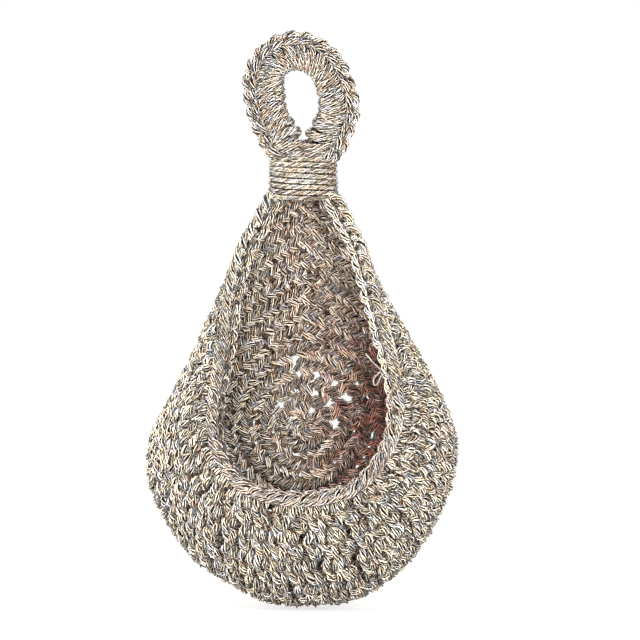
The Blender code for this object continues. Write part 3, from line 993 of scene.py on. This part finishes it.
def painted_inner_shade(fine):
    """How strong the brown painted shade is on the cord inside the basket: most at the lower right of the
    mouth.
    """
    x = fine[..., 0] - CROWN_SHIFT
    right = np.clip(x / INNER_SHADE_RIGHT, 0, 1)
    least = INNER_SHADE_SHARE - INNER_SHADE_FALL_SHARE * np.clip(-x / INNER_SHADE_LEFT, 0, 1)
    low = np.clip((INNER_SHADE_HEIGHT - height_of(fine)) / INNER_SHADE_FALL, 0, 1)
    behind = np.clip((fine[..., 1] - LOOP_SETBACK + INNER_SHADE_DEPTH) / INNER_SHADE_DEPTH_REACH, 0, 1)
    return (least + (1 - least) * right * low) * behind


def round_stitches(cloth, number):
    """Where a round's stitches stand, how they lean and how wide they are: narrow where the back is open."""
    lengths, meridians, total = cloth.ring(number - MIDDLE_SHARE)
    count = max(int(round(total / STITCH_PITCH)), LEAST_STITCHES)
    spots = np.arange(count) + random.random() + random.normal(0, STITCH_SPREAD_SHARE, count)
    centres = np.mod(spots / count, 1)
    leans = random.normal(LEAN_SHARE, LEAN_SPREAD_SHARE, count)
    places = np.interp(centres * total, lengths, meridians)
    tops = cloth.at(places, number, 0)
    is_open = random.random(count) < OPEN_ODDS * looseness(tops)
    return centres, leans, np.where(is_open, OPEN_SHARE + OPEN_SPREAD_SHARE * random.random(count), 1.0)


def make_round(cloth, number, cord):
    """A round's front stitches, and behind each of them two narrow bundles."""
    stitches = round_stitches(cloth, number)
    front, kept = stitch_paths(cloth, number, FRONT_SHARES, *stitches)
    left, _ = stitch_paths(cloth, number, BACK_SHARES, *stitches, -BACK_SHIFT_SHARE)
    right, _ = stitch_paths(cloth, number, BACK_SHARES, *stitches, BACK_SHIFT_SHARE)
    fine = fine_paths(front[kept], STITCH_BENDS, STITCH_STEP)
    steps = fine.shape[1]
    swell = 1 - LEAF_SWELL_SHARE * np.cos(math.tau * LEAVES * np.arange(steps) / (steps - 1))
    # The lower parts of each stitch get cooler, darker painted valley shade
    low = valley(FRONT_SHARES, steps)
    piece = basket_piece(f"stitches_{number:02d}", fine, YARN / 2 * swell, cord, "cord", deep=low)
    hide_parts(f"round_{number:02d}")
    fine = fine_paths(np.concatenate([left[kept], right[kept]]), STITCH_BENDS, TUBE_STEP)
    # The inner stitches get brown painted shade
    tone = {"shade": painted_inner_shade(fine), "twist": INNER_TWIST_SHARE}
    basket_piece(f"inner_stitches_{number:02d}", fine, INNER_YARN / 2, cord, "cord", **tone)


def make_seams(cloth, number, shade_cord):
    """The shaded cord seen between stitches: one along a round's upper edge and one along its middle."""
    for label, rounds in (("seam", number), ("lining", number - MIDDLE_SHARE)):
        if rounds < ROUNDS:
            for seam in seam_paths(cloth, rounds):
                line = fine_paths(seam[None], SEAM_BENDS, SEAM_STEP)
                basket_piece(f"{label}_{number:02d}", line, YARN * SEAM_SHARE, shade_cord, "cord", shade=SEAM_SHADE)


def make_ring(cord):
    turns = math.tau * np.arange(RING_STEPS + 1) / RING_STEPS
    spots = place(RING_RADIUS * np.sin(turns), CENTRE_HEIGHT + RING_RADIUS * np.cos(turns), WALL / 2)
    piece = yarn_mesh("centre_cord", even_paths(spots[None], TUBE_STEP), YARN * RING_SHARE, cord)
    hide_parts("centre_ring")
    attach(piece, "basket")


def make_loose_thread(cloth, finish):
    """The thin thread that has come loose inside the basket at the right, with a small loop in it."""
    back = cloth.points[:, : BACK_ROUNDS * ROUND_STEPS].reshape(-1, 3)
    spots = []
    for width, height in THREAD_SPOTS:
        spot = place(width, height, 0)
        nearest = np.argmin(np.hypot(back[:, 0] - spot[0], back[:, 2] - spot[2]))
        spots.append(place(width, height, THREAD_LIFT + LOOP_SETBACK - back[nearest, 1]))
    fine = fine_paths(np.array(spots)[None], THREAD_BENDS, THREAD_STEP)
    basket_piece("loose_thread", fine, LOOSE_THREAD / 2, finish, "cord", core=0.0)


def chain_paths(line, sides, ups, link, half_width, yarn):
    """A chain of links along a line: sides point across it, ups point away from what it lies on."""
    lengths = lengths_along(line)
    count = max(int(round(lengths[-1] / link)), LEAST_LINKS)
    shapes = jittered(LINK_SHARES, count, LINK_JITTER_SHARES)
    way = np.clip((np.arange(count)[:, None] + shapes[..., 0]) / count, 0, 1) * lengths[-1]
    across = unit(along_line(sides, lengths, way)) * (shapes[..., 1] * half_width)[..., None]
    lift = unit(along_line(ups, lengths, way)) * (shapes[..., 2] * yarn)[..., None]
    return along_line(line, lengths, way) + across + lift


def rim_painted_shade(fine):
    """Painted shade: the rim is a little darker round the lower part of the mouth."""
    low = np.clip((RIM_SHADE_HEIGHT - height_of(fine)) / RIM_SHADE_REACH, 0, 1)
    return {"shade": RIM_SHADE * low, "deep": RIM_VALLEY_SHADE * low}


def make_rim(cloth, cord):
    """The chain round the mouth, from one side of the neck to the other, and the cord inside it."""
    ends = cloth.points[:, -1]
    along = unit(np.roll(ends, -1, axis=0) - np.roll(ends, 1, axis=0))
    pulls = unit(cloth.pulls - along * np.sum(cloth.pulls * along, axis=1, keepdims=True))
    sides = np.cross(along, pulls)
    line = ends + pulls * (RIM_THICKNESS * RIM_LIFT_SHARE)
    keep = height_of(line) < BODY_HEIGHT + RIM_RISE
    order = np.roll(np.arange(len(line)), -int(np.argmin(keep)))
    order = order[keep[order]]
    line, sides, pulls = line[order], sides[order], pulls[order]
    links = chain_paths(line, sides, pulls, RIM_LINK, RIM_LINK_HALF, EDGE_YARN)
    fine = fine_paths(links, LINK_BENDS, TUBE_STEP)
    piece = basket_piece("rim_chain", fine, EDGE_YARN / 2, cord, "edging", **rim_painted_shade(fine))
    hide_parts("rim_braid")
    inner = line - sides * RIM_CORD_INSET - pulls * RIM_CORD_DROP
    fine = even_paths(inner[None], TUBE_STEP)
    basket_piece("rim_cord", fine, RIM_CORD / 2, cord, "edging", **rim_painted_shade(fine))


def rise_share(height):
    """0 at the loop's foot, 1 at its crown, slowed at both ends."""
    return eased(np.clip(height / LOOP_HEIGHT, 0, 1))


def loop_path():
    """The loop's middle line from foot to foot, as (right of the middle, height over the foot)."""
    points = [(LOOP_HALF_WIDTH * w, LEG_HEIGHT * h) for h, w in LEG_OUTLINE_SHARES]
    below = (points[1][0], -points[1][1])
    beyond = (points[-2][0], 2 * LEG_HEIGHT - points[-2][1])
    leg = smooth_path(points, below, beyond)
    turns = math.pi * np.arange(1, CROWN_STEPS) / CROWN_STEPS
    crown = np.array([0, LEG_HEIGHT]) + LOOP_HALF_WIDTH * np.stack([-np.cos(turns), np.sin(turns)], axis=-1)
    path = np.concatenate([leg * np.array([-1, 1]), crown, leg[::-1]])
    path[:, 0] -= CROWN_SHIFT * rise_share(path[:, 1])
    return path


def loop_line():
    """The loop's middle line from foot to foot, with its outward directions and half its thickness there."""
    points, alongs = resample(loop_path(), LOOP_STEPS)
    rights, heights = points.T
    spots = place(rights, heights + FOOT_HEIGHT, LOOP_SETBACK)
    outs = np.stack([-alongs[:, 1], np.zeros(len(alongs)), alongs[:, 0]], axis=-1)
    halves = (STRAND + (CROWN_STRAND - STRAND) * rise_share(heights)) / 2
    for side, height, shift, growth in LOOP_BULGES:
        near = np.exp(-(((heights - height) / LOOP_BULGE_REACH) ** 2)) * (rights * side > 0)
        spots[:, 0] += shift * near
        halves = halves + growth * near
    spots[:, 2] += CROWN_LIFT * rise_share(heights)
    closing = np.clip(1 - heights / FOOT_CLOSING_HEIGHT, 0, 1)
    spots[:, 0] -= FOOT_SHIFT * closing * np.sign(rights)
    return spots, outs, halves + FOOT_CLOSING * closing


def dipped_line():
    """The loop's line with both feet run on down into the neck, thinner and drawn together."""
    spots, outs, halves = loop_line()
    shares = 1 - np.arange(DIP_STEPS) / DIP_STEPS
    down = turned(0, -FOOT_DIP, 0) * shares[:, None]
    inward = turned(FOOT_PULL, 0, 0) * shares[:, None]
    pinch = 1 - FOOT_PINCH_SHARE * shares
    spots = np.concatenate([spots[0] + down + inward, spots, spots[-1] + down[::-1] - inward[::-1]])
    outs = np.pad(outs, ((DIP_STEPS, DIP_STEPS), (0, 0)), mode="edge")
    return spots, outs, np.concatenate([halves[0] * pinch, halves, halves[-1] * pinch[::-1]])


def blend_foot(piece):
    """Bakes the piece's place into its mesh. The span between the loop's foot and the bound neck is found
    but not used.
    """
    high = place(0, FOOT_HEIGHT + FOOT_BEND_RISE, LOOP_SETBACK)
    low = place(0, NECK_TOP_HEIGHT - FOOT_BEND_DROP, LOOP_SETBACK)
    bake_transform(piece)


def post_paths(spots, outs, halves):
    """Closed turns of cord round the loop's padding, two for each post. They fan out at the outer edge."""
    lengths = lengths_along(spots)
    pitch = lengths[-1] / POSTS
    turns = math.tau * np.arange(POST_STEPS + 1) / POST_STEPS
    paths = []
    for n in range(POSTS):
        for side in (-1, 1):
            spread = pitch * POST_SPREAD_SHARE * (1 + POST_FAN_SHARE * np.cos(turns)) * side
            slant = pitch * POST_SLANT_SHARE * np.sin(turns)
            way = pitch * (n + MIDDLE_SHARE) + spread + slant + random.normal(0, POST_JITTER)
            way = np.clip(way, 0, lengths[-1])
            out = unit(along_line(outs, lengths, way))
            swell = 1 + random.normal(0, POST_SWELL_SHARE)
            reach = (np.interp(way, lengths, halves) - POST_YARN / 2) * swell - POST_INSET
            circle = out * (reach * np.cos(turns))[:, None] + FORWARD * (reach * np.sin(turns))[:, None]
            paths.append(along_line(spots, lengths, way) + circle)
    return np.array(paths)


def make_loop_chains(spots, outs, halves, cord):
    """The two chains along the loop's outer edge."""
    tangents = unit(np.gradient(spots, axis=0))
    for name, tilt in (("loop_chain_front", CHAIN_TILT), ("loop_chain_back", -CHAIN_TILT)):
        up = outs * math.cos(tilt) + FORWARD * math.sin(tilt)
        line = spots + up * (halves + CHAIN_LIFT)[:, None]
        links = chain_paths(line, np.cross(tangents, up), up, LOOP_LINK, LOOP_LINK_HALF, EDGE_YARN)
        fine = fine_paths(links, LINK_BENDS, TUBE_STEP)
        # The chains' cord is painted a little darker with the shade tints
        edge = yarn_mesh(name, fine, EDGE_YARN / 2, cord, shade=LOOP_SHADE, deep=LOOP_VALLEY_SHADE)
        if tilt > 0:
            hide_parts("loop_edge_braid")
        blend_foot(edge)


def make_loop(cord, shade_cord):
    """The loop: its posts, its two chains and the padding inside."""
    spots, outs, halves = dipped_line()
    fine = fine_paths(post_paths(spots, outs, halves), POST_BENDS, TUBE_STEP)
    # The posts' cord is painted a little darker with the shade tints
    piece = yarn_mesh("loop_posts", fine, POST_YARN / 2, cord, shade=LOOP_SHADE, deep=LOOP_VALLEY_SHADE)
    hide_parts("loop_stitches", "loop_core", "loop_foot")
    blend_foot(piece)
    make_loop_chains(spots, outs, halves, cord)
    core = even_paths(np.concatenate([spots, halves[:, None]], axis=1)[None], FILLING_STEP)
    core = core[:, FILLING_CUT:-FILLING_CUT]
    # The padding is painted as cord in shade, cooler and darker
    inner = yarn_mesh("loop_filling", core[..., :3], core[..., 3] - POST_YARN, shade_cord, deep=1.0)
    blend_foot(inner)


def neck_point(turns, height, inset):
    turn = math.tau * turns
    across = np.sin(turn)
    squared = np.sign(across) * np.abs(across) ** (1 - NECK_SQUARE_SHARE)
    deep = LOOP_SETBACK - (NECK_DEPTH / 2 - inset) * np.cos(turn)
    return place(squared * (NECK_WIDTH / 2 - inset), height, deep)


def binding_path():
    """The binding's turns round the neck. They climb evenly, sag behind and lean more towards the top."""
    turns = np.arange(BINDING_TURNS * TURN_STEPS + 1) / TURN_STEPS
    share = np.clip(turns / BINDING_TURNS, 0, 1)
    pitch = (BINDING_RISE - BINDING_YARN + BINDING_SPREAD) / (BINDING_TURNS - 1)
    climb = pitch * np.clip(turns - MIDDLE_SHARE, 0, BINDING_TURNS - 1)
    lean = np.interp(turns, *zip(*BINDING_LEANS)) * np.sin(math.tau * turns)
    sag = BINDING_SAG * np.maximum(-np.cos(math.tau * turns), 0) * (1 - share)
    heights = BODY_HEIGHT + BINDING_YARN / 2 - BINDING_DROP + climb + lean - sag
    return neck_point(turns, heights, BINDING_YARN / 2 - BINDING_SWELL + BINDING_TAPER * share)


def make_binding(cord, shade_cord):
    """The cord wound round the neck, and the gathered strands that it holds."""
    fine = even_paths(binding_path()[None], STITCH_STEP)
    piece = yarn_mesh("binding_cord", fine, BINDING_YARN / 2, cord)
    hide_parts("neck_binding", "neck_gather")
    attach(piece, "neck")
    strands = []
    for row in range(NECK_STRANDS):
        spot = (row + NECK_SPREAD_SHARE * random.random()) / NECK_STRANDS
        low = neck_point(spot, BODY_HEIGHT - NECK_STRAND_DROP, NECK_STRAND_INSET)
        high = neck_point(spot, NECK_TOP_HEIGHT - NECK_STRAND_TOP, NECK_STRAND_INSET)
        strands.append([low, (low + high) / 2, high])
    # The gathered strands are painted as cord in shade
    inner = yarn_mesh("neck_strands", even_paths(np.array(strands), FILLING_STEP), YARN / 2, shade_cord)
    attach(inner, "neck")


def mix_shaders(tree, share, first, second):
    made = node(tree, "MixShader")
    for socket, output in zip(made.inputs, (share, first.outputs[0], second.outputs[0])):
        tree.links.new(output, socket)
    return made


def camera_ray(tree):
    return node(tree, "LightPath").outputs["Is Camera Ray"]


def floor_paint():
    """Pale floor. Seen directly it is lifted to the backdrop's white but keeps the basket's soft shadow."""
    paint = bpy.data.materials.new("floor")
    paint.use_nodes = True
    tree = paint.node_tree
    tree.nodes.clear()
    plain = node(tree, "BsdfDiffuse", Color=FLOOR_COLOUR)
    shown = node(tree, "BsdfDiffuse", Color=FLOOR_SHOWN)
    lift = node(tree, "Emission", Color=FLOOR_LIFT, Strength=LIFT_STRENGTH)
    white = node(tree, "Emission", Color=WHITE)
    near = node(tree, "AddShader")
    tree.links.new(shown.outputs[0], near.inputs[0])
    tree.links.new(lift.outputs[0], near.inputs[1])
    distance = node(tree, "VectorMath")
    distance.operation = "DISTANCE"
    distance.inputs[1].default_value = FADE_SPOT
    spot = node(tree, "NewGeometry")
    tree.links.new(spot.outputs["Position"], distance.inputs[0])
    away = distance.outputs["Value"]
    fade = node(tree, "MapRange", Value=away, From_Min=FADE_START, From_Max=FADE_END)
    fade.interpolation_type = "SMOOTHSTEP"
    seen = mix_shaders(tree, fade.outputs[0], near, white)
    out = node(tree, "OutputMaterial")
    tree.links.new(mix_shaders(tree, camera_ray(tree), plain, seen).outputs[0], out.inputs[0])
    return paint


def make_floor():
    """A wide pale floor just under the basket."""
    mesh = bpy.data.meshes.new("floor")
    z = -CROWN_HEIGHT - FLOOR_DROP
    corners = [(x * FLOOR_REACH, y * FLOOR_REACH, z) for x, y in ((-1, -1), (1, -1), (1, 1), (-1, 1))]
    mesh.from_pydata(corners, [], [(0, 1, 2, 3)])
    floor = add_object("floor", mesh)
    floor.data.materials.append(floor_paint())


def make_world():
    """Even soft light all round, seen as white."""
    world = bpy.data.worlds.new("studio")
    bpy.context.scene.world = world
    world.use_nodes = True
    tree = world.node_tree
    tree.nodes.clear()
    soft = node(tree, "Background", Color=WHITE, Strength=WORLD_STRENGTH)
    white = node(tree, "Background", Color=WHITE)
    out = node(tree, "OutputWorld")
    tree.links.new(mix_shaders(tree, camera_ray(tree), soft, white).outputs[0], out.inputs[0])


def make_lamps():
    """Soft square lamps that face the basket."""
    for name, spot, size, power in LAMPS:
        light = bpy.data.lights.new(name, "AREA")
        light.size = size
        light.energy = power
        lamp = add_object(name, light)
        lamp.location = spot
        lamp.rotation_euler = (Vector(LAMP_AIM) - Vector(spot)).to_track_quat("-Z", "Y").to_euler()


def make_camera():
    """A long lens straight in front of the basket and slightly above its middle."""
    scene = bpy.context.scene
    lens = bpy.data.cameras.new("view")
    lens.lens = LENS
    camera = add_object("view", lens)
    back = Vector((0, -math.cos(CAMERA_RISE), math.sin(CAMERA_RISE)))
    camera.location = Vector(place(AIM_RIGHT, AIM_HEIGHT, AIM_DEPTH)) + back * CAMERA_DISTANCE
    camera.rotation_euler = (-back).to_track_quat("-Z", "Y").to_euler()
    scene.camera = camera
    scene.view_settings.view_transform = "Standard"


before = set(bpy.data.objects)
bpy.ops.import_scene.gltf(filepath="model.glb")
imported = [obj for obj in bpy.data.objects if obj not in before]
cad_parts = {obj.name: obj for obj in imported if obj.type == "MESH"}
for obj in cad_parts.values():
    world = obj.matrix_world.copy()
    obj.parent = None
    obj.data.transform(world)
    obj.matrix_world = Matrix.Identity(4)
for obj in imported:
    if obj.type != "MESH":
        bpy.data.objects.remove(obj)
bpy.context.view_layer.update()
cord_paint = yarn_material("cord", CORD_STOPS)
shade_cord_paint = yarn_material("shaded_cord", SHADED_CORD_STOPS)
cloth = Cloth()
make_camera()
for number in range(1, ROUNDS + 1):
    make_round(cloth, number, cord_paint)
    make_seams(cloth, number, shade_cord_paint)
make_ring(cord_paint)
make_loose_thread(cloth, thread_material())
make_rim(cloth, cord_paint)
make_loop(cord_paint, shade_cord_paint)
make_binding(cord_paint, shade_cord_paint)
make_floor()
make_world()
make_lamps()
